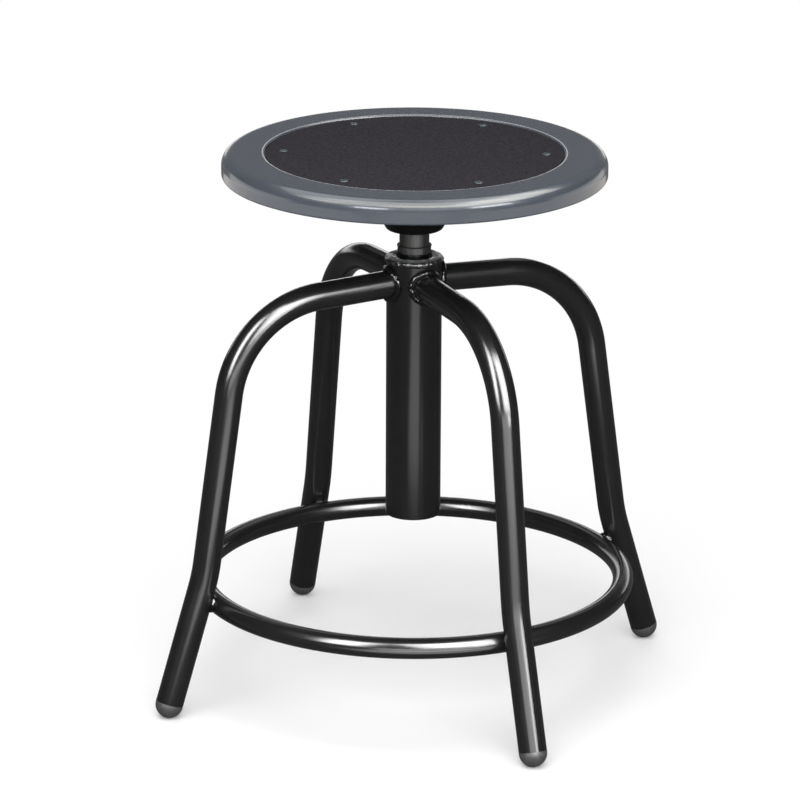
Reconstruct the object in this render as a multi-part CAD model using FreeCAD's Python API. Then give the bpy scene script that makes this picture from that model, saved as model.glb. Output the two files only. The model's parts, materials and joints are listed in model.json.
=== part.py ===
import FreeCAD, Part
import math
import os

# Swivel stool: a bent tube frame with a foot ring, and a round seat on a lifting screw.
# Millimetres. The origin is on the floor under the column, and +Z is up.

# Fits
weld_seam = 0.05          # air between a weld bead and what it joins, so that faces stay apart
push_fit = 0.1            # radial room of a plug or sleeve that stays where it is pushed
running_fit = 0.1         # radial room of a piece that turns or slides in another
end_play = 0.3            # axial room between pieces that turn against each other
fit_up_gap = 0.2          # gap left between two tubes for the weld between them
bend_share = 0.49         # most of a straight run that the bend at one of its ends may take
hair = 0.001              # lengths under this count as nothing

# Column
arm_height = 386.0        # arm centreline on the column's axis, above the floor
column_above_arm = 21.0
column_d = 50.8
column_wall = 2.0
column_length = 244.5
column_weld_inner_r = 15.8
column_weld_rise = 2.9    # crown of the bead above the column's end
column_weld_proud = 1.5   # bead outside the column's wall
column_weld_skirt = 4.0   # bead down the column's outer wall

# Legs
leg_count = 4
first_leg_angle = 45.0
leg_tube_d = 25.4
leg_wall = 1.5
shoulder_r = 173.5        # where the arm's line meets the leg's line
shoulder_drop = 7.6       # fall of the arm from the column's axis to that point
shoulder_bend = 95.0
ankle_r = 209.5
ankle_height = 132.0
ankle_bend = 160.0
foot_r = 246.5
leg_weld_size = 3.2
leg_weld_stand_off = 1.07 # middle of the bead, outside both tubes
leg_weld_sections = 24

# Foot glides
glide_flat_d = 6.4
glide_collar = 1.5        # straight part of the glide below the tube's end
glide_stem_length = 16.0
glide_groove_length = 5.4
glide_groove_depth = 0.8

# Foot ring
ring_height = 101.0
ring_tube_d = 19.05
ring_wall = 1.5
ring_weld_r = 8.5

# Lifting screw
screw_d = 25.4
screw_lead = 6.35
screw_flank_deg = 14.5
screw_root_room = 0.25    # screw's root below the basic thread
flank_room = 0.35         # axial room on each side of a thread
crest_room = 0.35         # radial room over and under a thread
thread_buried = 0.5       # thread's section below the root, so that it joins the core
helix_turns = 4           # turns that are swept, of which one is kept
rest_turns = 0.75         # turns that the seat stands above its lowest setting
shoulder_in_nut = 1.0     # plain shoulder below the nut's top at rest
shoulder_relief = 0.2     # shoulder's radius under the thread's outer radius
nut_thread_turns = 5
nut_proud = 0.6           # nut above the column's end
nut_mouth_room = 0.25     # radial step of the plain mouths at the nut's two ends
nut_mouth_depth = 1.2
nut_chamfer_share = 0.6   # chamfer of a hexagon nut, as a share of its corner's reach

# Lower end of the screw
journal_d = 16.0
journal_tail = 3.0
guide_length = 24.0
guide_groove_width = 6.0
guide_groove_depth = 1.0
guide_chamfer = 1.0
washer_d = 38.0
washer_thick = 2.5
stop_nut_flats = 24.0
stop_nut_height = 13.0
cap_recess = 0.5
cap_height = 6.0
cap_wall = 2.0
end_room = 1.5            # above the end cap at the lowest setting

# Neck
collar_d = 30.6
collar_height = 7.2
collar_lip_height = 1.2
collar_lip_proud = 0.5
collar_chamfer = 0.8
neck_d = 27.3
neck_exposed = 15.0
neck_above_floor = 25.0   # neck above the bracket's floor, inside the bracket
spindle_top_d = 20.0
spindle_below_neck_top = 1.0
pin_d = 6.0
pin_above_floor = 15.0
pin_proud = 0.8

# Seat bracket
bracket_sheet = 2.5
bracket_height = 62.1     # underside of the floor to underside of the flange
bracket_floor_r = 25.5
bracket_cone_r = 60.0
bracket_flange_r = 84.0
bracket_floor_bend = 3.0
bracket_flange_bend = 8.0
bracket_weld_size = 4.0
stud_count = 4
stud_circle_r = 73.0
stud_d = 8.0
stud_tail = 2.5
stud_washer_d = 16.0
stud_washer_thick = 1.6
stud_nut_flats = 13.0
stud_nut_height = 6.5
backing_plate_r = 95.0
backing_plate_thick = 2.5

# Seat pan and insert
seat_d = 350.0
pan_sheet = 1.5
rim_depth = 21.5
rim_round = 11.5
hem_width = 6.0
hem_return = 5.0
hem_round = 2.2
recess_d = 271.6
recess_depth = 3.2
recess_floor_round = 0.6
recess_edge_round = 2.0
insert_thick = 2.0
insert_edge_gap = 1.0
insert_edge_round = 0.5
rivet_count = 6
rivet_angle = 17.3        # first rivet, as the seat stands at rest
rivet_inset = 16.8        # from the recess's edge
rivet_head_d = 8.0
rivet_head_height = 0.8
rivet_shank_d = 4.0
rivet_tail_d = 6.6
rivet_tail_tip_d = 4.6
rivet_tail_height = 1.6

# Worked out from the sizes above
column_r = column_d / 2
column_bore_r = column_r - column_wall
column_top = arm_height + column_above_arm
column_bottom = column_top - column_length
leg_r = leg_tube_d / 2
ring_r = ring_tube_d / 2
screw_r = screw_d / 2
thread_depth = screw_lead / 2
pitch_r = screw_r - thread_depth / 2
screw_root_r = screw_r - thread_depth - screw_root_room
nut_minor_r = screw_root_r + crest_room
nut_major_r = screw_r + crest_room
shoulder_radius = screw_r - shoulder_relief
rest_gap = rest_turns * screw_lead
nut_top = column_top + nut_proud
counterbore_depth = rest_gap + shoulder_in_nut + crest_room
nut_bottom = nut_top - counterbore_depth - nut_thread_turns * screw_lead
collar_bottom = nut_top + rest_gap
neck_bottom = collar_bottom + collar_height
bracket_floor = neck_bottom + neck_exposed
bracket_inside = bracket_floor + bracket_sheet
flange_bottom = bracket_floor + bracket_height
flange_top = flange_bottom + bracket_sheet
pan_underside = flange_top + backing_plate_thick
recess_floor = pan_underside + pan_sheet
seat_top = recess_floor + recess_depth
seat_r = seat_d / 2
recess_r = recess_d / 2
rivet_circle_r = recess_r - rivet_inset
cap_top = column_bottom + cap_recess + cap_height
lower_stack = 2 * washer_thick + guide_length + 2 * end_play + stop_nut_height + journal_tail
lift_turns = math.floor((nut_bottom - end_play - cap_top - end_room - lower_stack) / screw_lead)
turns_up = lift_turns - rest_turns
thread_bottom = nut_bottom - end_play - turns_up * screw_lead
shoulder_bottom = nut_top - shoulder_in_nut
glide_r = leg_r
foot_height = math.sqrt(glide_r ** 2 - (glide_flat_d / 2) ** 2)


def point(r, z):
    """A point of the XZ half plane, at a radius and a height."""
    return FreeCAD.Vector(r, 0, z)


def drum(r, low, high):
    return Part.makeCylinder(r, high - low, point(0, low))


def tube(outer, inner, low, high):
    return drum(outer, low, high).cut(drum(inner, low, high))


def around(shape, count, first=0.0):
    """Copies of a shape, evenly spaced about the column's axis."""
    copies = []
    for k in range(count):
        turned = shape.copy()
        turned.rotate(point(0, 0), point(0, 1), first + 360.0 * k / count)
        copies.append(turned)
    return copies


def rounded_line(points, radii):
    """Edges through the points, each inner corner rounded. A bend is limited by its runs."""
    edges = []
    start = points[0]
    for before, corner, after, radius in zip(points, points[1:], points[2:], radii):
        back = before - corner
        on = after - corner
        half = back.getAngle(on) / 2
        tangent = min(radius / math.tan(half), bend_share * back.Length, bend_share * on.Length)
        back.normalize()
        on.normalize()
        inward = back + on
        inward.normalize()
        reach = tangent / math.cos(half)
        enter = corner + back * tangent
        leave = corner + on * tangent
        middle = corner + inward * (reach - tangent * math.tan(half))
        edges.append(Part.LineSegment(start, enter).toShape())
        edges.append(Part.Arc(enter, middle, leave).toShape())
        start = leave
    edges.append(Part.LineSegment(start, points[-1]).toShape())
    return edges


def moved_aside(points, distance):
    """An open outline moved to its left in the XZ plane, with mitred corners."""
    normals = []
    for a, b in zip(points, points[1:]):
        run = b - a
        run.normalize()
        normals.append(point(-run.z, run.x))
    moved = [points[0] + normals[0] * distance]
    for corner, n, m in zip(points[1:], normals, normals[1:]):
        moved.append(corner + (n + m) * (distance / (1 + n.dot(m))))
    moved.append(points[-1] + normals[-1] * distance)
    return moved


def side_radii(points, radii, distance):
    """The corner radii of an outline after it is moved to its left."""
    found = []
    for a, b, c, radius in zip(points, points[1:], points[2:], radii):
        left_turn = (b - a).cross(c - b).y < 0
        found.append(radius - distance if left_turn else radius + distance)
    return found


def pressed_sheet(points, radii, sheet):
    """A pressed sheet: its visible outline, thickened to its left and revolved."""
    back = moved_aside(points, sheet)
    back_radii = side_radii(points, radii, sheet)
    edges = rounded_line(points, radii) + rounded_line(back, back_radii)
    edges.append(Part.LineSegment(points[0], back[0]).toShape())
    edges.append(Part.LineSegment(points[-1], back[-1]).toShape())
    outline = Part.Wire(Part.__sortEdges__(edges))
    return revolved(outline)


def revolved(outline):
    shape = Part.Face(outline).revolve(point(0, 0), point(0, 1), 360)
    return shape.Solids[0]


def ring_of(points):
    """A turned ring with a straight-sided section."""
    return revolved(Part.makePolygon(points + [points[0]]))


def hexagon(flats, low, high):
    corner_r = flats / math.sqrt(3)
    corners = [
        FreeCAD.Vector(corner_r * math.cos(k * math.pi / 3), corner_r * math.sin(k * math.pi / 3), low)
        for k in range(7)
    ]
    return Part.Face(Part.makePolygon(corners)).extrude(point(0, high - low))


def save(name, *solids):
    shape = solids[0] if len(solids) == 1 else Part.makeCompound(list(solids))
    shape.exportStep("parts/" + name + ".step")


# Leg: its centreline stands in the XZ plane
shoulder_height = arm_height - shoulder_drop
leg_points = [
    point(0, arm_height),
    point(shoulder_r, shoulder_height),
    point(ankle_r, ankle_height),
    point(foot_r, foot_height),
]
foot_run = leg_points[3] - leg_points[2]
foot_run.normalize()


def leg_axis_r(height):
    """Radius of the leg's line at a height below the shoulder."""
    if height > ankle_height:
        top, low = leg_points[1], leg_points[2]
    else:
        top, low = leg_points[2], leg_points[3]
    return top.x + (low.x - top.x) * (top.z - height) / (top.z - low.z)


def leg_solid(radius):
    """A round bar of this radius along the leg, from the column's axis to the glide's seat."""
    seat = leg_points[3] - foot_run * glide_collar
    edges = rounded_line(leg_points[:3] + [seat], [shoulder_bend, ankle_bend])
    arm_run = leg_points[1] - leg_points[0]
    section = Part.Wire(Part.Circle(leg_points[0], arm_run, radius).toShape())
    return Part.Wire(edges).makePipeShell([section], True, False)


def leg_tube():
    bar = leg_solid(leg_r).cut(leg_solid(leg_r - leg_wall))
    return bar.cut(drum(column_r + fit_up_gap, column_bottom, column_top + leg_r))


def saddle_point(angle, tube_r, post_r):
    """A point where a tube along the arm meets an upright post of this radius."""
    arm_run = leg_points[1] - leg_points[0]
    fall = math.atan2(-arm_run.z, arm_run.x)
    sideways = tube_r * math.cos(angle)
    upward = tube_r * math.sin(angle)
    along = (math.sqrt(post_r ** 2 - sideways ** 2) - upward * math.sin(fall)) / math.cos(fall)
    x = along * math.cos(fall) + upward * math.sin(fall)
    z = arm_height - along * math.sin(fall) + upward * math.cos(fall)
    return FreeCAD.Vector(x, sideways, z)


def leg_weld():
    """The fillet bead round the arm where it meets the column."""
    bead_r = leg_r + leg_weld_stand_off
    post_r = column_r + leg_weld_stand_off
    step = 2 * math.pi / leg_weld_sections
    circles = []
    for k in range(leg_weld_sections):
        here = saddle_point(k * step, bead_r, post_r)
        run = saddle_point((k + 0.5) * step, bead_r, post_r) - saddle_point((k - 0.5) * step, bead_r, post_r)
        circles.append(Part.Wire(Part.Circle(here, run, leg_weld_size).toShape()))
    bead = Part.makeLoft(circles + [circles[0]], True, False, False)
    bead = bead.cut(drum(column_r + weld_seam, column_bottom, column_top))
    bead = bead.cut(leg_solid(leg_r + weld_seam))
    return max(bead.Solids, key=lambda solid: solid.Volume)


# Foot glide, upright about its own axis and then leaned onto the leg's end
def foot_glide():
    stem_r = leg_r - leg_wall - push_fit
    stem_top = glide_collar + glide_stem_length
    dome = Part.makeSphere(glide_r).common(drum(glide_r, -glide_r, 0))
    body = dome.fuse(drum(glide_r, 0, glide_collar)).fuse(drum(stem_r, glide_collar, stem_top))
    groove_low = glide_collar + (glide_stem_length - glide_groove_length) / 2
    groove_high = groove_low + glide_groove_length
    body = body.cut(tube(glide_r, stem_r - glide_groove_depth, groove_low, groove_high))
    lean = math.degrees(math.atan2(foot_run.x, -foot_run.z))
    body.rotate(point(0, 0), FreeCAD.Vector(0, 1, 0), -lean)
    body.translate(leg_points[3])
    below = Part.makeBox(4 * glide_r, 4 * glide_r, 2 * glide_r, point(foot_r, -2 * glide_r))
    below.translate(FreeCAD.Vector(-2 * glide_r, -2 * glide_r, 0))
    return body.removeSplitter().cut(below)


# Foot ring, inside the legs and just clear of them
ring_drop = (leg_r + ring_r + fit_up_gap) / -foot_run.z
ring_line_r = leg_axis_r(ring_height) - ring_drop
ring_centre = point(0, ring_height)


def foot_ring():
    outer = Part.makeTorus(ring_line_r, ring_r, ring_centre)
    return outer.cut(Part.makeTorus(ring_line_r, ring_r - ring_wall, ring_centre))


def ring_weld():
    """The weld in the corners round the point where the ring touches a leg."""
    across = point(foot_run.z, -foot_run.x)
    touch = point(ring_line_r, ring_height) - across * (ring_r + fit_up_gap / 2)
    ball = Part.makeSphere(ring_weld_r, touch)
    ball = ball.cut(leg_solid(leg_r + weld_seam))
    ball = ball.cut(Part.makeTorus(ring_line_r, ring_r + weld_seam, ring_centre))
    return max(ball.Solids, key=lambda solid: solid.Volume)


# Threads: one turn is made between two level planes, and its sides are stacked and sewn
def one_turn(root_r, crest_r, pitch_width):
    slope = math.tan(math.radians(screw_flank_deg))
    buried_r = root_r - thread_buried
    half_in = pitch_width / 2 + (pitch_r - buried_r) * slope
    half_out = pitch_width / 2 - (crest_r - pitch_r) * slope
    section = [
        point(buried_r, -half_in),
        point(crest_r, -half_out),
        point(crest_r, half_out),
        point(buried_r, half_in),
    ]
    helix = Part.Wire(Part.makeHelix(screw_lead, helix_turns * screw_lead, pitch_r))
    ridge = helix.makePipeShell([Part.makePolygon(section + [section[0]])], True, True)
    core = drum(root_r, 0, helix_turns * screw_lead)
    turn = core.fuse(ridge).common(drum(2 * crest_r, screw_lead, 2 * screw_lead)).Solids[0]
    turn.translate(point(0, -screw_lead))
    return turn


def threaded_bar(root_r, crest_r, pitch_width, low, length):
    """A bar with a thread that starts at a height. Bars that start a whole lead apart line up."""
    turn = one_turn(root_r, crest_r, pitch_width)
    whole = math.floor((length + hair) / screw_lead)
    rest = length - whole * screw_lead
    pieces = [(turn, k * screw_lead) for k in range(whole)]
    if rest > hair:
        pieces.append((turn.common(drum(2 * crest_r, 0, rest)).Solids[0], whole * screw_lead))
    faces = []
    for solid, height in pieces:
        placed = solid.copy()
        placed.translate(point(0, height))
        for face in placed.Faces:
            level = face.Surface.TypeId == "Part::GeomPlane"
            at_end = min(abs(face.CenterOfMass.z), abs(face.CenterOfMass.z - length)) < hair
            if at_end or not level:
                faces.append(face)
    skin = Part.makeCompound(faces)
    skin.sewShape(hair)
    bar = Part.makeSolid(Part.Shell(skin.Faces))
    bar.translate(point(0, low))
    return bar


def spindle_screw():
    thread_length = shoulder_bottom - thread_bottom
    width = thread_depth - flank_room
    screw = threaded_bar(screw_root_r, screw_r, width, thread_bottom, thread_length)
    shoulder = drum(shoulder_radius, shoulder_bottom, neck_bottom)
    journal = drum(journal_d / 2, thread_bottom - lower_stack, thread_bottom)
    top = drum(spindle_top_d / 2, neck_bottom, spindle_top)
    screw = screw.fuse(shoulder).fuse(journal).fuse(top)
    return screw.cut(cross_pin(pin_d / 2 + push_fit))


def column_nut():
    mouth_r = nut_major_r + nut_mouth_room
    nut = drum(column_bore_r - push_fit, nut_bottom, nut_top)
    nut = nut.cut(drum(mouth_r, nut_top - counterbore_depth, nut_top))
    nut = nut.cut(drum(mouth_r, nut_bottom, nut_bottom + nut_mouth_depth))
    steps_down = math.floor((nut_bottom - thread_bottom) / screw_lead) - 1
    cutter_low = thread_bottom + steps_down * screw_lead
    turns = math.ceil((nut_top - cutter_low) / screw_lead)
    width = thread_depth + flank_room
    return nut.cut(threaded_bar(nut_minor_r, nut_major_r, width, cutter_low, turns * screw_lead))


def column_weld():
    """The bead that closes the column's end over the nut."""
    outer_r = column_r + column_weld_proud
    crown = column_top + column_weld_rise
    foot = point(column_weld_inner_r, nut_top + weld_seam)
    top = point((column_weld_inner_r + column_r) / 2, crown)
    edge = point(column_r, crown - column_weld_proud)
    side = point(outer_r, column_top - column_weld_proud)
    skirt = point(column_r + weld_seam, column_top - column_weld_skirt)
    crest = Part.Arc(foot, top, edge).toShape()
    flank = Part.Arc(edge, side, skirt).toShape()
    inner = point(column_r + weld_seam, nut_top + weld_seam)
    back = Part.makePolygon([skirt, inner, foot])
    return revolved(Part.Wire([crest, flank] + back.Edges))


# Lower end of the screw, from the thread's end down
def turned_washer(top):
    return tube(washer_d / 2, journal_d / 2 + push_fit, top - washer_thick, top)


guide_top = thread_bottom - washer_thick - end_play
guide_bottom = guide_top - guide_length
lower_washer_top = guide_bottom - end_play
stop_nut_top = lower_washer_top - washer_thick


def guide_bush():
    outer = column_bore_r - running_fit
    bore = journal_d / 2 + running_fit
    middle = (guide_top + guide_bottom) / 2
    half_groove = guide_groove_width / 2
    groove_r = outer - guide_groove_depth
    return ring_of([
        point(bore, guide_bottom),
        point(outer - guide_chamfer, guide_bottom),
        point(outer, guide_bottom + guide_chamfer),
        point(outer, middle - half_groove),
        point(groove_r, middle - half_groove),
        point(groove_r, middle + half_groove),
        point(outer, middle + half_groove),
        point(outer, guide_top - guide_chamfer),
        point(outer - guide_chamfer, guide_top),
        point(bore, guide_top),
    ])


def hex_nut(flats, bore_r, low, high):
    """A hexagon nut with its corners chamfered on both faces."""
    corner_r = flats / math.sqrt(3)
    chamfer = (corner_r - flats / 2) * nut_chamfer_share
    round_off = ring_of([
        point(0, low),
        point(flats / 2, low),
        point(corner_r, low + chamfer),
        point(corner_r, high - chamfer),
        point(flats / 2, high),
        point(0, high),
    ])
    return hexagon(flats, low, high).common(round_off).cut(drum(bore_r, low, high))


def column_cap():
    """A plug in the column's lower end, open upwards."""
    low = column_bottom + cap_recess
    plug = drum(column_bore_r - push_fit, low, low + cap_height)
    return plug.cut(drum(column_bore_r - push_fit - cap_wall, low + cap_wall, low + cap_height))


# Neck and bracket
neck_top = bracket_inside + neck_above_floor
spindle_top = neck_top - spindle_below_neck_top
pin_height = bracket_inside + pin_above_floor
neck_bore_r = spindle_top_d / 2 + push_fit


def cross_pin(radius):
    half = neck_d / 2 + pin_proud
    return Part.makeCylinder(radius, 2 * half, point(-half, pin_height), FreeCAD.Vector(1, 0, 0))


def stop_collar():
    outer = collar_d / 2
    inner = shoulder_radius + push_fit
    lip_r = outer + collar_lip_proud
    lip_low = neck_bottom - collar_lip_height
    return ring_of([
        point(inner, collar_bottom),
        point(outer - collar_chamfer, collar_bottom),
        point(outer, collar_bottom + collar_chamfer),
        point(outer, lip_low),
        point(lip_r, lip_low + collar_lip_proud / 2),
        point(lip_r, neck_bottom - collar_lip_proud / 2),
        point(outer, neck_bottom),
        point(inner, neck_bottom),
    ])


def neck_sleeve():
    sleeve = tube(neck_d / 2, neck_bore_r, neck_bottom, neck_top)
    return sleeve.cut(cross_pin(pin_d / 2 + push_fit))


def seat_bracket():
    """A pressed bell with a flat floor round the neck and a bolting flange."""
    outline = [
        point(neck_d / 2 + push_fit, bracket_floor),
        point(bracket_floor_r, bracket_floor),
        point(bracket_cone_r, flange_bottom),
        point(bracket_flange_r, flange_bottom),
    ]
    bell = pressed_sheet(outline, [bracket_floor_bend, bracket_flange_bend], bracket_sheet)
    hole = Part.makeCylinder(
        stud_d / 2 + push_fit, 2 * bracket_sheet, point(stud_circle_r, flange_bottom - bracket_sheet / 2)
    )
    for cutter in around(hole, stud_count):
        bell = bell.cut(cutter)
    return bell


def bracket_weld():
    """The fillet inside the bell, between its floor and the neck."""
    neck_side = neck_d / 2 + weld_seam
    low = bracket_inside + weld_seam
    return ring_of([
        point(neck_side, low),
        point(neck_side + bracket_weld_size, low),
        point(neck_side, low + bracket_weld_size),
    ])


def standing(shape):
    """A fastener made about the Z axis, moved onto the circle of studs."""
    shape.translate(point(stud_circle_r, 0))
    return shape


washer_low = flange_bottom - stud_washer_thick
nut_low = washer_low - stud_nut_height
stud_bore_r = stud_d / 2 + push_fit


# Seat
def seat_pan():
    """The pressed pan: recessed in the middle, round at the rim and hemmed below."""
    rim_bottom = seat_top - rim_depth
    outline = [
        point(seat_r - hem_width, rim_bottom + hem_return),
        point(seat_r - hem_width, rim_bottom),
        point(seat_r, rim_bottom),
        point(seat_r, seat_top),
        point(recess_r, seat_top),
        point(recess_r, recess_floor),
        point(0, recess_floor),
    ]
    bends = [hem_round, hem_round, rim_round, recess_edge_round, recess_floor_round]
    pan = pressed_sheet(outline, bends, pan_sheet)
    hole = Part.makeCylinder(rivet_shank_d / 2 + weld_seam, 3 * pan_sheet)
    hole.translate(point(rivet_circle_r, pan_underside - pan_sheet))
    for cutter in around(hole, rivet_count, rivet_angle):
        pan = pan.cut(cutter)
    return pan


def seat_insert():
    outer = recess_r - insert_edge_gap
    top = recess_floor + insert_thick
    disc = ring_of([
        point(0, recess_floor),
        point(outer, recess_floor),
        point(outer, top - insert_edge_round),
        point(outer - insert_edge_round, top),
        point(0, top),
    ])
    hole = Part.makeCylinder(rivet_shank_d / 2 + weld_seam, 3 * insert_thick)
    hole.translate(point(rivet_circle_r, recess_floor - insert_thick))
    for cutter in around(hole, rivet_count, rivet_angle):
        disc = disc.cut(cutter)
    return disc


def rivet():
    """A rivet through the insert and the pan, with a domed head and a formed tail."""
    head_low = recess_floor + insert_thick
    head_r = rivet_head_d / 2
    ball_r = (head_r ** 2 + rivet_head_height ** 2) / (2 * rivet_head_height)
    half_way = math.asin(head_r / ball_r) / 2
    sunk = ball_r - rivet_head_height
    dome = Part.Arc(
        point(head_r, head_low),
        point(ball_r * math.sin(half_way), head_low + ball_r * math.cos(half_way) - sunk),
        point(0, head_low + rivet_head_height),
    ).toShape()
    rest = Part.makePolygon([
        point(0, head_low + rivet_head_height),
        point(0, pan_underside - rivet_tail_height),
        point(rivet_tail_tip_d / 2, pan_underside - rivet_tail_height),
        point(rivet_tail_d / 2, pan_underside),
        point(rivet_shank_d / 2, pan_underside),
        point(rivet_shank_d / 2, head_low),
        point(head_r, head_low),
    ])
    turned = revolved(Part.Wire([dome] + rest.Edges))
    turned.translate(point(rivet_circle_r, 0))
    return turned


os.makedirs("parts", exist_ok=True)

# The standing frame
save("column_tube", tube(column_r, column_bore_r, column_bottom, column_top))
save("column_nut", column_nut())
save("column_weld", column_weld())
save("column_cap", column_cap())
save("foot_ring", foot_ring())
leg_sides = ["back_right", "back_left", "front_left", "front_right"]
leg_sides += ["side_" + str(k) for k in range(4, leg_count)]
for name, shape in (
    ("leg", leg_tube()),
    ("leg_weld", leg_weld()),
    ("ring_weld", ring_weld()),
    ("foot_glide", foot_glide()),
):
    for side, turned in zip(leg_sides, around(shape, leg_count, first_leg_angle)):
        save(name + "_" + side, turned)

# The guide that slides in the column
save("guide_bush", guide_bush())

# The seat and all that turns with it
save("spindle_screw", spindle_screw())
save("upper_washer", turned_washer(thread_bottom))
save("lower_washer", turned_washer(lower_washer_top))
stop_nut_bore_r = journal_d / 2 + push_fit
save("stop_nut", hex_nut(stop_nut_flats, stop_nut_bore_r, stop_nut_top - stop_nut_height, stop_nut_top))
save("stop_collar", stop_collar())
save("neck_sleeve", neck_sleeve())
save("neck_pin", cross_pin(pin_d / 2))
save("seat_bracket", seat_bracket())
save("bracket_weld", bracket_weld())
save("backing_plate", drum(backing_plate_r, flange_top, pan_underside))
stud = standing(drum(stud_d / 2, nut_low - stud_tail, flange_top))
save("bracket_studs", *around(stud, stud_count))
stud_washer = standing(tube(stud_washer_d / 2, stud_bore_r, washer_low, flange_bottom))
save("bracket_washers", *around(stud_washer, stud_count))
stud_nut = standing(hex_nut(stud_nut_flats, stud_bore_r, nut_low, washer_low))
save("bracket_nuts", *around(stud_nut, stud_count))
save("seat_pan", seat_pan())
save("seat_insert", seat_insert())
save("insert_rivets", *around(rivet(), rivet_count, rivet_angle))

print("seat top at rest", round(seat_top, 2))
print("turns down and up", rest_turns, turns_up, "travel", round(lift_turns * screw_lead, 2))
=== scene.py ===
import json
import math

import bmesh
import bpy
from mathutils import Euler, Matrix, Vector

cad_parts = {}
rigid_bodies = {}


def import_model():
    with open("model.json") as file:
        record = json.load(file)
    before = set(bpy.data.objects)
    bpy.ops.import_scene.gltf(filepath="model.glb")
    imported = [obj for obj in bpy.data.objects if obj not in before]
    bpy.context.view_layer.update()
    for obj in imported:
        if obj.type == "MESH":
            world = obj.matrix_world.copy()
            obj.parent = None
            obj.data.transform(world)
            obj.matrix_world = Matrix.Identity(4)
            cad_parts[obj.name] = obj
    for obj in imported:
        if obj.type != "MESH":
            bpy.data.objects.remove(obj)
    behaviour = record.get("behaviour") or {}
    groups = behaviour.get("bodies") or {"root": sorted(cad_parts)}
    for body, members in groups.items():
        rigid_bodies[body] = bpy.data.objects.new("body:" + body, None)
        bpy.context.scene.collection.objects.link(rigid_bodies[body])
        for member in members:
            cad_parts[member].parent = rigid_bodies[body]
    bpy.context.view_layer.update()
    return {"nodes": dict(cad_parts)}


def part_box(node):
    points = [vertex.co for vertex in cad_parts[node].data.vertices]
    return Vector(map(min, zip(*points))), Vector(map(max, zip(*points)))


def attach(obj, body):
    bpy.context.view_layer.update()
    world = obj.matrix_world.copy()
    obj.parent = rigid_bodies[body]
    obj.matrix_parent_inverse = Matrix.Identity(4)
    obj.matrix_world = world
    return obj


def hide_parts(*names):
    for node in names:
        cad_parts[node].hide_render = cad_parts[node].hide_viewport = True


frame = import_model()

# Swivel stool: a black tube frame with a foot ring, and a blue-grey steel seat on a lifting screw.
mm = 0.001
bandSpan = 0.314  # length of one band of a Wave texture at scale 1
legNames = ["back_right", "back_left", "front_left", "front_right"]
print("frame loaded:", len(frame["nodes"]), "nodes")


# Helpers for editing by hand
def makeActive(piece):
    bpy.ops.object.select_all(action="DESELECT")
    piece.select_set(True)
    bpy.context.view_layer.objects.active = piece


def pickEdges(piece, wanted):
    bpy.ops.mesh.select_mode(type="EDGE")
    bpy.ops.mesh.select_all(action="DESELECT")
    mesh = bmesh.from_edit_mesh(piece.data)
    for edge in mesh.edges:
        if wanted(edge):
            edge.select_set(True)
    bmesh.update_edit_mesh(piece.data)


def pickFaces(piece, wanted):
    bpy.ops.mesh.select_mode(type="FACE")
    bpy.ops.mesh.select_all(action="DESELECT")
    mesh = bmesh.from_edit_mesh(piece.data)
    for face in mesh.faces:
        if wanted(face):
            face.select_set(True)
    bmesh.update_edit_mesh(piece.data)


def facesDown(face, limit=-0.9):
    return face.normal.z < limit


def onRing(radius, height, near=0.02 * mm):  # true for edges on this circle about the column's axis
    def wanted(edge):
        ends = [(math.hypot(v.co.x, v.co.y), v.co.z) for v in edge.verts]
        return all(abs(r - radius) < near and abs(z - height) < near for r, z in ends)
    return wanted


def growRing(old, new):  # pulls the picked ring on to a new radius and height
    bpy.ops.mesh.extrude_edges_move(TRANSFORM_OT_translate={"value": (0, 0, new[1] - old[1])})
    share = new[0] / old[0]
    bpy.ops.transform.resize(value=(share, share, 1), center_override=(0, 0, new[1]))


def roundRing(piece, ring, radius, segments):
    pickEdges(piece, onRing(*ring))
    bpy.ops.mesh.bevel(offset_type="OFFSET", offset=radius, segments=segments, affect="EDGES")


def applyModifier(piece, kind, **settings):
    modifier = piece.modifiers.new(kind.lower(), kind)
    for key, value in settings.items():
        setattr(modifier, key, value)
    makeActive(piece)
    bpy.ops.object.modifier_apply(modifier=modifier.name)


def putOn(piece, finish, body, slot, *nodes):
    piece.data.materials.clear()
    piece.data.materials.append(finish)
    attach(piece, body)
    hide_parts(*nodes)
    return piece


# Helpers for finishes
def newFinish(name):
    finish = bpy.data.materials.new(name)
    finish.use_nodes = True
    tree = finish.node_tree
    return finish, tree, tree.nodes["Principled BSDF"], addNode(tree, "TexCoord").outputs["Object"]


def addNode(tree, kind, inputs=None, **settings):
    node = tree.nodes.new("ShaderNode" + kind)
    for key, value in settings.items():
        setattr(node, key, value)
    for key, value in (inputs or {}).items():
        if isinstance(value, bpy.types.NodeSocket):
            tree.links.new(value, node.inputs[key])
        else:
            node.inputs[key].default_value = value
    return node


def setShader(shader, **values):
    for key, value in values.items():
        shader.inputs[key.replace("_", " ")].default_value = value


def spread(tree, value, low, high):  # stretches 0..1 onto low..high
    return addNode(tree, "MapRange", {"Value": value, "To Min": low, "To Max": high}).outputs[0]


def shades(tree, value, dark, light):
    ramp = addNode(tree, "ValToRGB", {"Fac": value})
    ramp.color_ramp.elements[0].color = (*dark, 1)
    ramp.color_ramp.elements[1].color = (*light, 1)
    return ramp.outputs["Color"]


def combined(tree, operation, *values):
    return addNode(tree, "Math", dict(enumerate(values)), operation=operation).outputs[0]


def heightOf(tree, place):
    return addNode(tree, "SeparateXYZ", {"Vector": place}).outputs["Z"]


def grain(tree, place, size, detail=2.0):  # noise whose lumps are about this size
    return addNode(tree, "TexNoise", {"Vector": place, "Scale": 1 / size, "Detail": detail}).outputs["Fac"]


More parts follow.
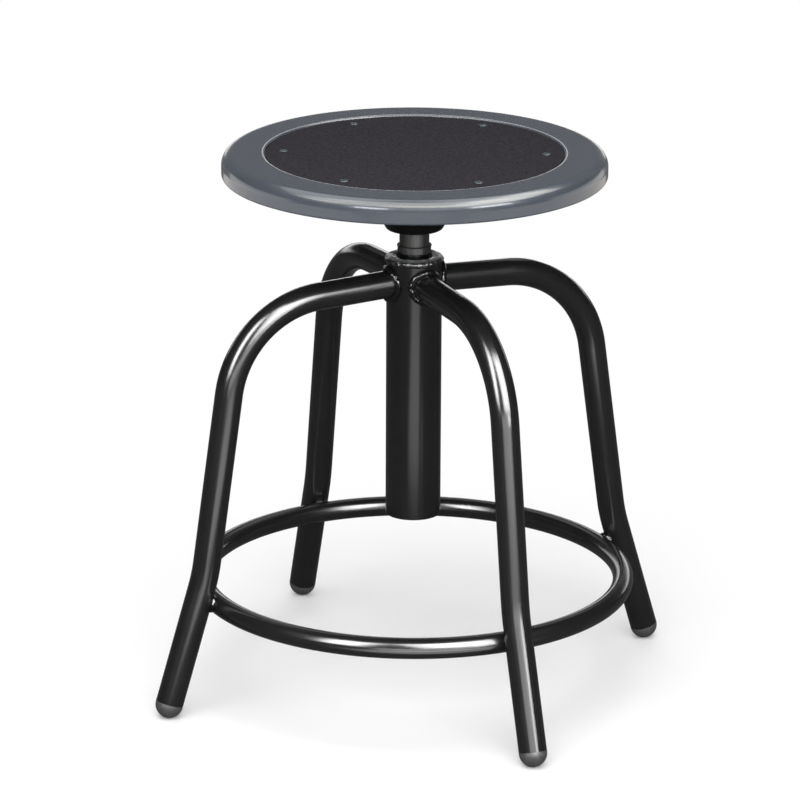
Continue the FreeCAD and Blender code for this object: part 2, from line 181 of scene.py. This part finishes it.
def bumped(tree, height, distance, under=None):  # distance is how high the bumps stand
    inputs = {"Height": height, "Distance": distance, "Strength": 1.0}
    if under:
        inputs["Normal"] = under
    return addNode(tree, "Bump", inputs).outputs["Normal"]


# Gloss black powder coat of the tubes, a little flatter on the column than on the ring
coatShine = {"blackCoat": 0.36, "ringCoat": 0.42, "columnCoat": 0.20}
blackCoat = {
    "dark": (0.0100, 0.0100, 0.0101), "light": (0.0140, 0.0140, 0.0142), "rough": (0.17, 0.22),
    "cloud": 40 * mm, "peelSize": 2.4 * mm, "peelHeight": 0.010 * mm,
    "nibSpacing": 17 * mm, "nibSize": 0.30 * mm, "nibHeight": 0.05 * mm,
}


def makeCoat(name, data, specular):
    finish, tree, shader, place = newFinish(name)
    cloud = grain(tree, place, data["cloud"])
    tree.links.new(shades(tree, cloud, data["dark"], data["light"]), shader.inputs["Base Color"])
    tree.links.new(spread(tree, cloud, *data["rough"]), shader.inputs["Roughness"])
    setShader(shader, Specular_IOR_Level=specular)
    peel = bumped(tree, grain(tree, place, data["peelSize"], detail=1.0), data["peelHeight"])
    # a few small nibs of dust under the coat
    cells = addNode(tree, "TexVoronoi", {"Vector": place, "Scale": 1 / data["nibSpacing"]})
    nib = addNode(tree, "MapRange", {
        "Value": cells.outputs["Distance"], "From Min": 0.0, "From Max": data["nibSize"] / data["nibSpacing"],
        "To Min": 1.0, "To Max": 0.0,
    }).outputs[0]
    tree.links.new(bumped(tree, nib, data["nibHeight"], peel), shader.inputs["Normal"])
    return finish


# The same coat over rough weld metal, roughest on top of the column, where the crown's top also gets a
# painted highlight
weldSkins = {
    "weldSkin": {
        "dark": (0.004, 0.004, 0.004), "light": (0.010, 0.010, 0.010), "rough": (0.12, 0.22),
        "specular": 0.32, "lumpSize": 2.8 * mm, "lumpHeight": 0.30 * mm,
        "spatterSize": 0.9 * mm, "spatterHeight": 0.04 * mm,
    },
    # on the crown the light tone is a painted highlight, laid only on its top
    "crownSkin": {
        "dark": (0.010, 0.010, 0.010), "light": (0.50, 0.50, 0.50), "rough": (0.16, 0.30),
        "specular": 0.6, "lumpSize": 3.0 * mm, "lumpHeight": 1.1 * mm,
        "spatterSize": 0.9 * mm, "spatterHeight": 0.14 * mm, "paintedSheenDepth": 2.0 * mm,
    },
}


def makeWeldSkin(name, data):
    finish, tree, shader, place = newFinish(name)
    lumps = grain(tree, place, data["lumpSize"])
    spatter = grain(tree, place, data["spatterSize"])
    tone = lumps
    if "paintedSheenDepth" in data:  # painted highlight: a light tone on the crown's top stands in for the overhead shine
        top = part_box("column_weld")[1].z
        paintedSheen = addNode(tree, "MapRange", {
            "Value": heightOf(tree, place), "From Min": top - data["paintedSheenDepth"], "From Max": top,
        }).outputs[0]
        tone = combined(tree, "MULTIPLY", lumps, paintedSheen)
    tree.links.new(shades(tree, tone, data["dark"], data["light"]), shader.inputs["Base Color"])
    tree.links.new(spread(tree, spatter, *data["rough"]), shader.inputs["Roughness"])
    setShader(shader, Specular_IOR_Level=data["specular"])
    under = bumped(tree, lumps, data["lumpHeight"])
    tree.links.new(bumped(tree, spatter, data["spatterHeight"], under), shader.inputs["Normal"])
    return finish


# Blue-grey enamel with fine metal flake, and a painted highlight: a pale line along the lip round the insert
seatEnamel = {
    "dark": (0.070, 0.082, 0.103), "light": (0.088, 0.101, 0.122), "flakeSize": 0.35 * mm,
    "metal": 0.15, "specular": 0.5, "cloud": 60 * mm, "rough": (0.20, 0.25), "coat": 0.3, "coatRough": 0.06,
    "peelSize": 8 * mm, "peelHeight": 0.003 * mm,
    "lipOut": 2.95 * mm, "lipHalf": 0.45 * mm, "lipFade": 0.2 * mm, "lipDeep": 0.3 * mm,
    "lipHighlightTone": (0.50, 0.51, 0.53, 1),
}


def makeEnamel(name, data):
    finish, tree, shader, place = newFinish(name)
    flake = addNode(tree, "TexVoronoi", {"Vector": place, "Scale": 1 / data["flakeSize"]}).outputs["Color"]
    tone = addNode(tree, "SeparateColor", {"Color": flake}).outputs["Red"]
    enamel = shades(tree, tone, data["dark"], data["light"])
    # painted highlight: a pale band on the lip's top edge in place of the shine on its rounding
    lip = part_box("seat_insert")[1].x + data["lipOut"]
    level = addNode(tree, "VectorMath", {0: place, 1: (1, 1, 0)}, operation="MULTIPLY").outputs[0]
    reach = addNode(tree, "VectorMath", {0: level}, operation="LENGTH").outputs["Value"]
    highlightBand = addNode(tree, "MapRange", {
        "Value": combined(tree, "ABSOLUTE", combined(tree, "SUBTRACT", reach, lip)),
        "From Min": data["lipHalf"] + data["lipFade"], "From Max": data["lipHalf"],
    }).outputs[0]
    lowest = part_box("seat_pan")[1].z - data["lipDeep"]
    above = combined(tree, "GREATER_THAN", heightOf(tree, place), lowest)
    paintedLipHighlight = combined(tree, "MULTIPLY", highlightBand, above)
    colour = addNode(tree, "MixRGB", {0: paintedLipHighlight, 1: enamel, 2: data["lipHighlightTone"]}).outputs[0]
    tree.links.new(colour, shader.inputs["Base Color"])
    cloud = grain(tree, place, data["cloud"])
    tree.links.new(spread(tree, cloud, *data["rough"]), shader.inputs["Roughness"])
    setShader(shader, Metallic=data["metal"], Specular_IOR_Level=data["specular"])
    setShader(shader, Coat_Weight=data["coat"], Coat_Roughness=data["coatRough"])
    peel = bumped(tree, grain(tree, place, data["peelSize"], detail=1.0), data["peelHeight"])
    tree.links.new(peel, shader.inputs["Normal"])
    return finish


# Charcoal board with a fine woven grain
boardFinish = {
    "dark": (0.022, 0.020, 0.025), "light": (0.064, 0.059, 0.070), "rough": (0.62, 0.78), "specular": 0.2,
    "thread": 1.3 * mm, "threadHeight": 0.04 * mm, "waver": 1.2, "waverDetail": 2.0, "waverScale": 2.0,
    "mottle": 2.9 * mm, "mottleDetail": 3.0, "mottleFrom": 0.25, "mottleTo": 0.75,
}


def makeBoard(name, data):
    finish, tree, shader, place = newFinish(name)
    waves = []
    for direction in ("X", "Y"):
        wave = addNode(tree, "TexWave", {
            "Vector": place, "Scale": bandSpan / data["thread"], "Distortion": data["waver"],
            "Detail": data["waverDetail"], "Detail Scale": data["waverScale"],
        }, bands_direction=direction)
        waves.append(wave.outputs["Fac"])
    weave = combined(tree, "MULTIPLY", *waves)
    mottle = addNode(tree, "MapRange", {
        "Value": grain(tree, place, data["mottle"], data["mottleDetail"]),
        "From Min": data["mottleFrom"], "From Max": data["mottleTo"],
    }).outputs[0]
    mean = combined(tree, "MULTIPLY", combined(tree, "ADD", weave, mottle), 0.5)
    tree.links.new(shades(tree, mean, data["dark"], data["light"]), shader.inputs["Base Color"])
    tree.links.new(spread(tree, mottle, *data["rough"]), shader.inputs["Roughness"])
    setShader(shader, Specular_IOR_Level=data["specular"])
    tree.links.new(bumped(tree, weave, data["threadHeight"]), shader.inputs["Normal"])
    return finish


# Metals and plastics that differ only in tone, gloss and fine marks
latheMarks = {"waver": 0.6, "detail": 1.0}


def makePlain(name, data):
    finish, tree, shader, place = newFinish(name)
    stretch = (1, 1, data.get("streak", 1))
    drawn = addNode(tree, "VectorMath", {0: place, 1: stretch}, operation="MULTIPLY").outputs[0]
    cloud = grain(tree, drawn, data["cloud"])
    tree.links.new(shades(tree, cloud, data["dark"], data["light"]), shader.inputs["Base Color"])
    tree.links.new(spread(tree, cloud, *data["rough"]), shader.inputs["Roughness"])
    setShader(shader, Metallic=data["metal"], Specular_IOR_Level=data["specular"])
    if data["turned"]:  # rings left by the lathe
        marks = addNode(tree, "TexWave", {
            "Vector": place, "Scale": bandSpan / data["marks"],
            "Distortion": latheMarks["waver"], "Detail": latheMarks["detail"],
        }, bands_direction="Z").outputs["Fac"]
    else:
        marks = grain(tree, place, data["marks"])
    tree.links.new(bumped(tree, marks, data["height"]), shader.inputs["Normal"])
    return finish


plainFinishes = {
    "neckSteel": {
        "dark": (0.001, 0.001, 0.001), "light": (0.062, 0.062, 0.060), "rough": (0.38, 0.50), "metal": 0.3,
        "specular": 0.2, "cloud": 2.4 * mm, "streak": 0.05,
        "turned": True, "marks": 0.7 * mm, "height": 0.03 * mm,
    },
    "screwSteel": {
        "dark": (0.05, 0.053, 0.058), "light": (0.09, 0.095, 0.10), "rough": (0.14, 0.24), "metal": 0.95,
        "specular": 0.5, "cloud": 15 * mm, "turned": True, "marks": 0.5 * mm, "height": 0.008 * mm,
    },
    "bellPaint": {
        "dark": (0.003, 0.003, 0.003), "light": (0.005, 0.005, 0.005), "rough": (0.30, 0.40), "metal": 0.0,
        "specular": 0.10, "cloud": 30 * mm, "turned": False, "marks": 1.5 * mm, "height": 0.02 * mm,
    },
    "glidePlastic": {
        "dark": (0.036, 0.036, 0.038), "light": (0.070, 0.070, 0.073), "rough": (0.36, 0.52), "metal": 0.0,
        "specular": 0.45, "cloud": 3 * mm, "turned": False, "marks": 0.8 * mm, "height": 0.03 * mm,
    },
    "rivetSteel": {
        "dark": (0.05, 0.062, 0.072), "light": (0.10, 0.12, 0.135), "rough": (0.34, 0.46), "metal": 0.6,
        "specular": 0.5, "cloud": 2 * mm, "turned": False, "marks": 0.5 * mm, "height": 0.01 * mm,
    },
    "zincPlate": {
        "dark": (0.42, 0.43, 0.45), "light": (0.60, 0.61, 0.63), "rough": (0.28, 0.42), "metal": 1.0,
        "specular": 0.5, "cloud": 5 * mm, "turned": False, "marks": 1.2 * mm, "height": 0.015 * mm,
    },
    "nutSteel": {
        "dark": (0.20, 0.20, 0.21), "light": (0.32, 0.32, 0.33), "rough": (0.30, 0.45), "metal": 1.0,
        "specular": 0.5, "cloud": 10 * mm, "turned": True, "marks": 0.8 * mm, "height": 0.02 * mm,
    },
    "nylon": {
        "dark": (0.66, 0.64, 0.57), "light": (0.76, 0.74, 0.67), "rough": (0.40, 0.55), "metal": 0.0,
        "specular": 0.4, "cloud": 10 * mm, "turned": True, "marks": 0.9 * mm, "height": 0.02 * mm,
    },
}
finishes = {name: makePlain(name, data) for name, data in plainFinishes.items()}
for coatName, specular in coatShine.items():
    finishes[coatName] = makeCoat(coatName, blackCoat, specular)
for skinName, data in weldSkins.items():
    finishes[skinName] = makeWeldSkin(skinName, data)
finishes["seatEnamel"] = makeEnamel("seatEnamel", seatEnamel)
finishes["board"] = makeBoard("board", boardFinish)
print("finishes made:", len(finishes))


# CAD pieces whose shape is right get their finish
dressed = {
    "blackCoat": ["leg_" + n for n in legNames],
    "ringCoat": ["foot_ring"],
    "columnCoat": ["column_tube"],
    "glidePlastic": ["column_cap"] + ["foot_glide_" + n for n in legNames],
    "nutSteel": ["column_nut"],
    "nylon": ["guide_bush"],
    "screwSteel": ["spindle_screw"],
    "zincPlate": [
        "upper_washer", "lower_washer", "stop_nut", "neck_pin",
        "bracket_studs", "bracket_washers", "bracket_nuts",
    ],
    "neckSteel": ["stop_collar", "neck_sleeve"],
    "bellPaint": ["seat_bracket", "backing_plate", "bracket_weld"],
}
for finishName, nodeNames in dressed.items():
    for nodeName in nodeNames:
        mesh = frame["nodes"][nodeName].data
        mesh.materials.clear()
        mesh.materials.append(finishes[finishName])
print("frame pieces dressed")


# Seat pan: one sheet from the recess over the rim to the hem
# Each round is its radius and its number of segments.
seatPan = {
    "around": 240, "sheet": 1.5 * mm, "recessGap": 1.0 * mm, "hemIn": 6 * mm, "hemUp": 5 * mm,
    "hemRound": (2.2 * mm, 5), "bottomRound": (2.2 * mm, 6), "rimRound": (11.5 * mm, 20),
    "edgeRound": (2.0 * mm, 6), "floorRound": (0.6 * mm, 3), "smooth": 35,
}


def makeSeatPan():
    low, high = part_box("seat_pan")
    insertLow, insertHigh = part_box("seat_insert")
    floor, recess = insertLow.z, insertHigh.x + seatPan["recessGap"]
    top, rim, bottom = high.z, high.x, low.z
    hem = rim - seatPan["hemIn"]
    bpy.ops.object.select_all(action="DESELECT")
    bpy.ops.mesh.primitive_circle_add(
        vertices=seatPan["around"], radius=recess, fill_type="NGON", location=(0, 0, floor)
    )
    pan = bpy.context.object
    pan.name = "seatPan"
    bpy.ops.object.transform_apply(location=True)
    bpy.ops.object.mode_set(mode="EDIT")
    hemTop = bottom + seatPan["hemUp"]
    rings = [(recess, floor), (recess, top), (rim, top), (rim, bottom), (hem, bottom), (hem, hemTop)]
    pickEdges(pan, onRing(*rings[0]))
    for old, new in zip(rings, rings[1:]):
        growRing(old, new)
    roundRing(pan, (hem, bottom), *seatPan["hemRound"])
    roundRing(pan, (rim, bottom), *seatPan["bottomRound"])
    roundRing(pan, (rim, top), *seatPan["rimRound"])
    roundRing(pan, (recess, top), *seatPan["edgeRound"])
    roundRing(pan, (recess, floor), *seatPan["floorRound"])
    bpy.ops.mesh.select_all(action="SELECT")
    bpy.ops.mesh.normals_make_consistent(inside=False)
    bpy.ops.object.mode_set(mode="OBJECT")
    applyModifier(pan, "SOLIDIFY", thickness=seatPan["sheet"], offset=-1.0, use_even_offset=True)
    makeActive(pan)
    bpy.ops.object.shade_smooth_by_angle(angle=math.radians(seatPan["smooth"]))
    applyModifier(pan, "WEIGHTED_NORMAL", keep_sharp=True)  # keeps the flat rim's shading flat
    return putOn(pan, finishes["seatEnamel"], "seat", "seat_paint", "seat_pan")


# Insert: a thin board disc with a softened edge
seatInsert = {"around": 240, "edgeRound": (0.5 * mm, 4), "smooth": 35}


def makeSeatInsert():
    low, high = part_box("seat_insert")
    bpy.ops.object.select_all(action="DESELECT")
    bpy.ops.mesh.primitive_cylinder_add(
        vertices=seatInsert["around"], radius=high.x, depth=high.z - low.z,
        location=(0, 0, (low.z + high.z) / 2),
    )
    board = bpy.context.object
    board.name = "seatInsert"
    bpy.ops.object.transform_apply(location=True)
    bpy.ops.object.mode_set(mode="EDIT")
    roundRing(board, (high.x, high.z), *seatInsert["edgeRound"])
    bpy.ops.object.mode_set(mode="OBJECT")
    makeActive(board)
    bpy.ops.object.shade_smooth_by_angle(angle=math.radians(seatInsert["smooth"]))
    return putOn(board, finishes["board"], "seat", "insert_board", "seat_insert")


# Rivets: one is modelled on the axis and copied round the insert
rivet = {
    "count": 6, "first": 17.3, "circle": 119 * mm, "sides": 36, "smooth": 40,
    "head": 4.0 * mm, "headHigh": 0.8 * mm, "headRound": (0.62 * mm, 7), "shank": 2.0 * mm,
    "tail": 3.3 * mm, "tailTip": 2.3 * mm, "tailHigh": 1.6 * mm, "tailStep": 0.01 * mm,
}


def makeRivets():
    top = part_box("seat_insert")[1].z
    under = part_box("backing_plate")[1].z
    headTop = top + rivet["headHigh"]
    bpy.ops.object.select_all(action="DESELECT")
    bpy.ops.mesh.primitive_cylinder_add(
        vertices=rivet["sides"], radius=rivet["head"], depth=rivet["headHigh"],
        location=(0, 0, (top + headTop) / 2),
    )
    first = bpy.context.object
    first.name = "insertRivets"
    bpy.ops.object.transform_apply(location=True)
    bpy.ops.object.mode_set(mode="EDIT")
    roundRing(first, (rivet["head"], headTop), *rivet["headRound"])
    pickFaces(first, facesDown)
    bpy.ops.mesh.inset(thickness=rivet["head"] - rivet["shank"])
    bpy.ops.mesh.extrude_region_move(TRANSFORM_OT_translate={"value": (0, 0, under - top)})
    bpy.ops.mesh.inset(thickness=rivet["tailStep"])
    share = rivet["tail"] / rivet["shank"]
    bpy.ops.mesh.extrude_region_move(TRANSFORM_OT_translate={"value": (0, 0, 0)})
    bpy.ops.transform.resize(value=(share, share, 1), center_override=(0, 0, under))
    bpy.ops.mesh.extrude_region_move(TRANSFORM_OT_translate={"value": (0, 0, -rivet["tailHigh"])})
    share = rivet["tailTip"] / rivet["tail"]
    bpy.ops.transform.resize(value=(share, share, 1), center_override=(0, 0, under))
    bpy.ops.object.mode_set(mode="OBJECT")
    copies = [first]
    for _ in range(1, rivet["count"]):
        copy = first.copy()
        copy.data = first.data.copy()
        bpy.context.collection.objects.link(copy)
        copies.append(copy)
    for k, copy in enumerate(copies):
        angle = math.radians(rivet["first"] + 360 * k / rivet["count"])
        copy.location = (rivet["circle"] * math.cos(angle), rivet["circle"] * math.sin(angle), 0)
    makeActive(first)
    for copy in copies:
        copy.select_set(True)
    bpy.ops.object.transform_apply(location=True)
    bpy.ops.object.join()
    bpy.ops.object.shade_smooth_by_angle(angle=math.radians(rivet["smooth"]))
    return putOn(first, finishes["rivetSteel"], "seat", "rivet_steel", "insert_rivets")


# Weld beads: the plain bead is copied, made even and pushed into lumps
weldBead = {
    "merge": 0.005 * mm, "voxel": 0.6 * mm,
    "lump": 3.2 * mm, "lumpDetail": 1, "lumpHigh": 1.1 * mm, "lumpMiddle": 0.5,
}


def makeBead(node, finish="weldSkin"):
    bpy.ops.object.select_all(action="DESELECT")
    source = frame["nodes"][node]
    bead = bpy.data.objects.new("bead_" + node, source.data.copy())
    bpy.context.collection.objects.link(bead)
    makeActive(bead)
    bpy.ops.object.mode_set(mode="EDIT")
    bpy.ops.mesh.select_all(action="SELECT")
    bpy.ops.mesh.remove_doubles(threshold=weldBead["merge"])
    bpy.ops.object.mode_set(mode="OBJECT")
    applyModifier(bead, "REMESH", mode="VOXEL", voxel_size=weldBead["voxel"])
    lumps = bpy.data.textures.new("weldLumps", "CLOUDS")
    lumps.noise_scale = weldBead["lump"]
    lumps.noise_depth = weldBead["lumpDetail"]
    applyModifier(
        bead, "DISPLACE", texture=lumps, texture_coords="LOCAL",
        strength=weldBead["lumpHigh"], mid_level=weldBead["lumpMiddle"],
    )
    makeActive(bead)
    bpy.ops.object.shade_smooth()
    return putOn(bead, finishes[finish], "frame", "weld_coat", node)


makeSeatPan()
makeSeatInsert()
makeRivets()
print("seat made")
makeBead("column_weld", "crownSkin")
for legName in legNames:
    makeBead("leg_weld_" + legName)
    makeBead("ring_weld_" + legName)
print("weld beads made")


# Floor and room: a pale floor that turns to plain white round the stool, and an even white sky.
# Both are plain white for the camera alone, and light and shine at levels of their own.
room = {
    "floorReach": 15.0, "floorSides": 96, "floorRough": 0.9, "whiteFrom": 0.15, "whiteTo": 0.80,
    "floorSeen": 1.0, "floorLights": 0.80, "floorShines": 0.12,
    "skySeen": 1.0, "skyLights": 0.62, "skyShines": 0.03,
}


def makeFloor():
    bpy.ops.object.select_all(action="DESELECT")
    bpy.ops.mesh.primitive_circle_add(
        vertices=room["floorSides"], radius=room["floorReach"], fill_type="NGON", location=(0, 0, 0)
    )
    floor = bpy.context.object
    floor.name = "floor"
    paint, tree, shader, place = newFinish("floorPaint")
    setShader(shader, Roughness=room["floorRough"], Specular_IOR_Level=0.0)
    shader.inputs["Emission Color"].default_value = (1, 1, 1, 1)
    rays = addNode(tree, "LightPath").outputs
    seen = rays["Is Camera Ray"]
    away = addNode(tree, "VectorMath", {0: place}, operation="LENGTH").outputs["Value"]
    far = addNode(tree, "MapRange", {
        "Value": away, "From Min": room["whiteFrom"], "From Max": room["whiteTo"],
    }, interpolation_type="SMOOTHSTEP").outputs[0]
    white = combined(tree, "MULTIPLY", far, seen)
    unseen = spread(tree, rays["Is Glossy Ray"], room["floorLights"], room["floorShines"])
    lit = spread(tree, seen, unseen, room["floorSeen"])
    paintTone = addNode(tree, "MixRGB", {0: white, 1: lit, 2: (0, 0, 0, 1)}).outputs[0]
    tree.links.new(paintTone, shader.inputs["Base Color"])
    tree.links.new(white, shader.inputs["Emission Strength"])
    floor.data.materials.append(paint)


def makeSky():
    world = bpy.data.worlds.new("studio")
    bpy.context.scene.world = world
    world.use_nodes = True
    tree = world.node_tree
    rays = addNode(tree, "LightPath").outputs
    unseen = spread(tree, rays["Is Glossy Ray"], room["skyLights"], room["skyShines"])
    level = spread(tree, rays["Is Camera Ray"], unseen, room["skySeen"])
    tree.links.new(level, tree.nodes["Background"].inputs["Color"])


# The photo's camera: focal length and frame are in pixels, and pitch, yaw and roll in radians.
photoCamera = {
    "azimuth": 19.01, "distance": 4.0, "height": 1.5413, "pitch": 0.30758, "yaw": 0.0031, "roll": 0.00446,
    "focal": 4566.7, "frame": 800, "sensor": 36, "farthest": 60,
}

# Lamps: azimuth from the camera's, reach from the column's axis, and tilt (90 shines straight down).
# The plain ones light every colour evenly. The others only put shine on pieces with certain finishes.
lamps = {
    "plainTop": {
        "azimuth": -15, "reach": 1.1, "height": 2.2, "tilt": 62, "size": (1.9, 1.9),
        "bright": 2.2, "tint": (1, 1, 1), "shines": "plain",
    },
    "plainFront": {
        "azimuth": 10, "reach": 2.6, "height": 1.1, "tilt": 15, "size": (2.8, 1.4),
        "bright": 2.9, "tint": (1, 1, 1), "shines": "plain",
    },
    "plainBack": {
        "azimuth": 180, "reach": 2.2, "height": 1.6, "tilt": 30, "size": (2.0, 1.0),
        "bright": 2.0, "tint": (1, 1, 1), "shines": "plain",
    },
    "rightBox": {
        "azimuth": 25, "reach": 1.73, "height": 1.62, "tilt": 38, "size": (1.7, 2.1),
        "bright": 25, "tint": (1, 1, 1), "shines": "frame",
    },
    "rightCore": {
        "azimuth": 25, "reach": 1.72, "height": 1.61, "tilt": 38, "size": (0.9, 1.5),
        "bright": 17, "tint": (1, 1, 1), "shines": "frame",
    },
    "rightSkirt": {
        "azimuth": 31, "reach": 2.2, "height": 0.72, "tilt": 8, "size": (0.9, 0.42),
        "bright": 9, "tint": (1, 1, 1), "shines": "frame",
    },
    "leftBox": {
        "azimuth": -36, "reach": 1.82, "height": 1.42, "tilt": 34, "size": (0.86, 1.9),
        "bright": 25, "tint": (1, 1, 1), "shines": "frame",
    },
    "leftCore": {
        "azimuth": -36, "reach": 1.81, "height": 1.41, "tilt": 34, "size": (0.5, 1.3),
        "bright": 17, "tint": (1, 1, 1), "shines": "frame",
    },
    "ankleLine": {
        "azimuth": 34, "reach": 2.3, "height": 0.47, "tilt": 0, "size": (0.36, 0.16),
        "bright": 42, "tint": (1, 1, 1), "shines": "tubes",
    },
    "lowPanel": {
        "azimuth": 10, "reach": 2.5, "height": 0.33, "tilt": 0, "size": (2.6, 0.62),
        "bright": 7, "tint": (1, 1, 1), "shines": "tubes",
    },
    "floorCard": {
        "azimuth": 8, "reach": 1.05, "height": 0.004, "tilt": -90, "size": (0.74, 0.9),
        "bright": 5, "tint": (1, 1, 1), "shines": "tubes",
    },
    "ringCard": {
        "azimuth": 10, "reach": 0.75, "height": 0.006, "tilt": -90, "size": (0.7, 0.9),
        "bright": 4, "tint": (1, 1, 1), "shines": "ring",
    },
    "rearBox": {
        "azimuth": 180, "reach": 1.7, "height": 1.7, "tilt": 40, "size": (1.6, 0.8),
        "bright": 1.0, "tint": (1, 1, 1), "shines": "frame",
    },
    "rearLine": {
        "azimuth": 180, "reach": 2.3, "height": 0.58, "tilt": 0, "size": (4.5, 0.36),
        "bright": 2.8, "tint": (1, 1, 1), "shines": "frame",
    },
    "overPanel": {
        "azimuth": 0, "reach": 0.42, "height": 2.1, "tilt": 90, "size": (4.0, 0.8),
        "bright": 4.2, "tint": (1, 0.96, 0.86), "shines": "pan",
    },
    "overFront": {
        "azimuth": -8, "reach": 1.25, "height": 2.09, "tilt": 90, "size": (3.8, 0.9),
        "bright": 4.3, "tint": (1, 0.95, 0.8), "shines": "pan",
    },
    "overCore": {
        "azimuth": 13, "reach": 1.35, "height": 2.085, "tilt": 90, "size": (1.7, 0.7),
        "bright": 3.4, "tint": (1, 0.95, 0.8), "shines": "pan",
    },
    "overRight": {
        "azimuth": 85, "reach": 1.25, "height": 2.08, "tilt": 90, "size": (2.0, 1.3),
        "bright": 5.0, "tint": (1, 0.96, 0.86), "shines": "pan",
    },
    "overBackLeft": {
        "azimuth": -125, "reach": 0.9, "height": 2.11, "tilt": 90, "size": (1.6, 1.2),
        "bright": 2.0, "tint": (1, 0.99, 0.97), "shines": "pan",
    },
    "overBackRight": {
        "azimuth": 126, "reach": 0.9, "height": 2.11, "tilt": 90, "size": (1.5, 1.2),
        "bright": 2.4, "tint": (1, 0.98, 0.94), "shines": "pan",
    },
    "panLeft": {
        "azimuth": -26, "reach": 2.19, "height": 1.61, "tilt": 27, "size": (0.75, 0.5),
        "bright": 13, "tint": (1, 1, 1), "shines": "pan",
    },
    "panMiddle": {
        "azimuth": 10, "reach": 2.2, "height": 1.68, "tilt": 28, "size": (1.3, 0.8),
        "bright": 1.6, "tint": (1, 1, 1), "shines": "pan",
    },
    "panRight": {
        "azimuth": 47, "reach": 2.2, "height": 1.58, "tilt": 26, "size": (1.0, 0.46),
        "bright": 15, "tint": (1, 1, 1), "shines": "pan",
    },
    "wallFront": {
        "azimuth": 5, "reach": 2.6, "height": 0.26, "tilt": 0, "size": (4.2, 0.8),
        "bright": 0.6, "tint": (1, 0.96, 0.91), "shines": "pan",
    },
    "wallLeft": {
        "azimuth": -105, "reach": 2.4, "height": 0.35, "tilt": 0, "size": (2.8, 0.9),
        "bright": 1.2, "tint": (1, 0.98, 0.95), "shines": "pan",
    },
    "wallRight": {
        "azimuth": 115, "reach": 2.4, "height": 0.35, "tilt": 0, "size": (2.8, 0.9),
        "bright": 1.1, "tint": (1, 0.96, 0.9), "shines": "pan",
    },
    "floorFront": {
        "azimuth": 0, "reach": 1.75, "height": 0.003, "tilt": -90, "size": (1.6, 1.9),
        "bright": 0.6, "tint": (1, 0.93, 0.88), "shines": "pan",
    },
    "floorLeft": {
        "azimuth": -90, "reach": 1.75, "height": 0.002, "tilt": -90, "size": (3.4, 1.9),
        "bright": 1.05, "tint": (1, 0.96, 0.92), "shines": "pan",
    },
    "floorRight": {
        "azimuth": 90, "reach": 1.75, "height": 0.002, "tilt": -90, "size": (3.4, 1.9),
        "bright": 1.0, "tint": (1, 0.92, 0.84), "shines": "pan",
    },
    "wallBack": {
        "azimuth": 180, "reach": 2.45, "height": 1.1, "tilt": 0, "size": (5.5, 2.2),
        "bright": 0.12, "tint": (0.95, 0.98, 1), "shines": "pan",
    },
    "lineBack": {
        "azimuth": 180, "reach": 2.4, "height": 0.45, "tilt": 0, "size": (1.7, 0.34),
        "bright": 1.6, "tint": (1, 0.98, 0.94), "shines": "pan",
    },
}
shinyFinishes = {
    "frame": [
        "blackCoat", "ringCoat", "columnCoat", "weldSkin", "crownSkin",
        "bellPaint", "neckSteel", "screwSteel", "glidePlastic",
    ],
    "tubes": ["blackCoat", "ringCoat", "columnCoat", "glidePlastic", "neckSteel"],
    "ring": ["ringCoat"],
    "pan": ["seatEnamel", "rivetSteel"],
}


def makeGroup(name, finishNames):
    group = bpy.data.collections.new(name + "Shine")
    for piece in bpy.context.scene.objects:
        if piece.type == "MESH" and piece.data.materials and piece.data.materials[0].name in finishNames:
            group.objects.link(piece)
    return group


def makeLamps():
    groups = {name: makeGroup(name, finishNames) for name, finishNames in shinyFinishes.items()}
    for name, data in lamps.items():
        light = bpy.data.lights.new(name, "AREA")
        light.shape = "RECTANGLE"
        light.size, light.size_y = data["size"]
        light.energy = math.pi * data["bright"] * light.size * light.size_y
        light.color = data["tint"]
        lamp = bpy.data.objects.new(name, light)
        bpy.context.collection.objects.link(lamp)
        turn = math.radians(photoCamera["azimuth"] + data["azimuth"])
        lamp.location = (data["reach"] * math.sin(turn), -data["reach"] * math.cos(turn), data["height"])
        lamp.rotation_euler = (math.pi / 2 - math.radians(data["tilt"]), 0, turn)
        lamp.visible_camera = False
        if data["shines"] == "plain":
            lamp.visible_glossy = False
        else:
            lamp.visible_diffuse = False
            lamp.light_linking.receiver_collection = groups[data["shines"]]


def makeCamera():
    data = bpy.data.cameras.new("photoCamera")
    camera = bpy.data.objects.new("photoCamera", data)
    bpy.context.collection.objects.link(camera)
    data.sensor_width = photoCamera["sensor"]
    data.lens = photoCamera["focal"] * photoCamera["sensor"] / photoCamera["frame"]
    data.clip_end = photoCamera["farthest"]
    turn = math.radians(photoCamera["azimuth"])
    reach = photoCamera["distance"]
    camera.location = (reach * math.sin(turn), -reach * math.cos(turn), photoCamera["height"])
    aim = Euler((math.pi / 2 - photoCamera["pitch"], 0, turn + photoCamera["yaw"])).to_matrix()
    camera.rotation_euler = (aim @ Matrix.Rotation(photoCamera["roll"], 3, "Z")).to_euler()
    bpy.context.scene.camera = camera


makeFloor()
makeSky()
makeLamps()
makeCamera()
bpy.context.scene.view_settings.view_transform = "Standard"
print("room, lamps and camera made")
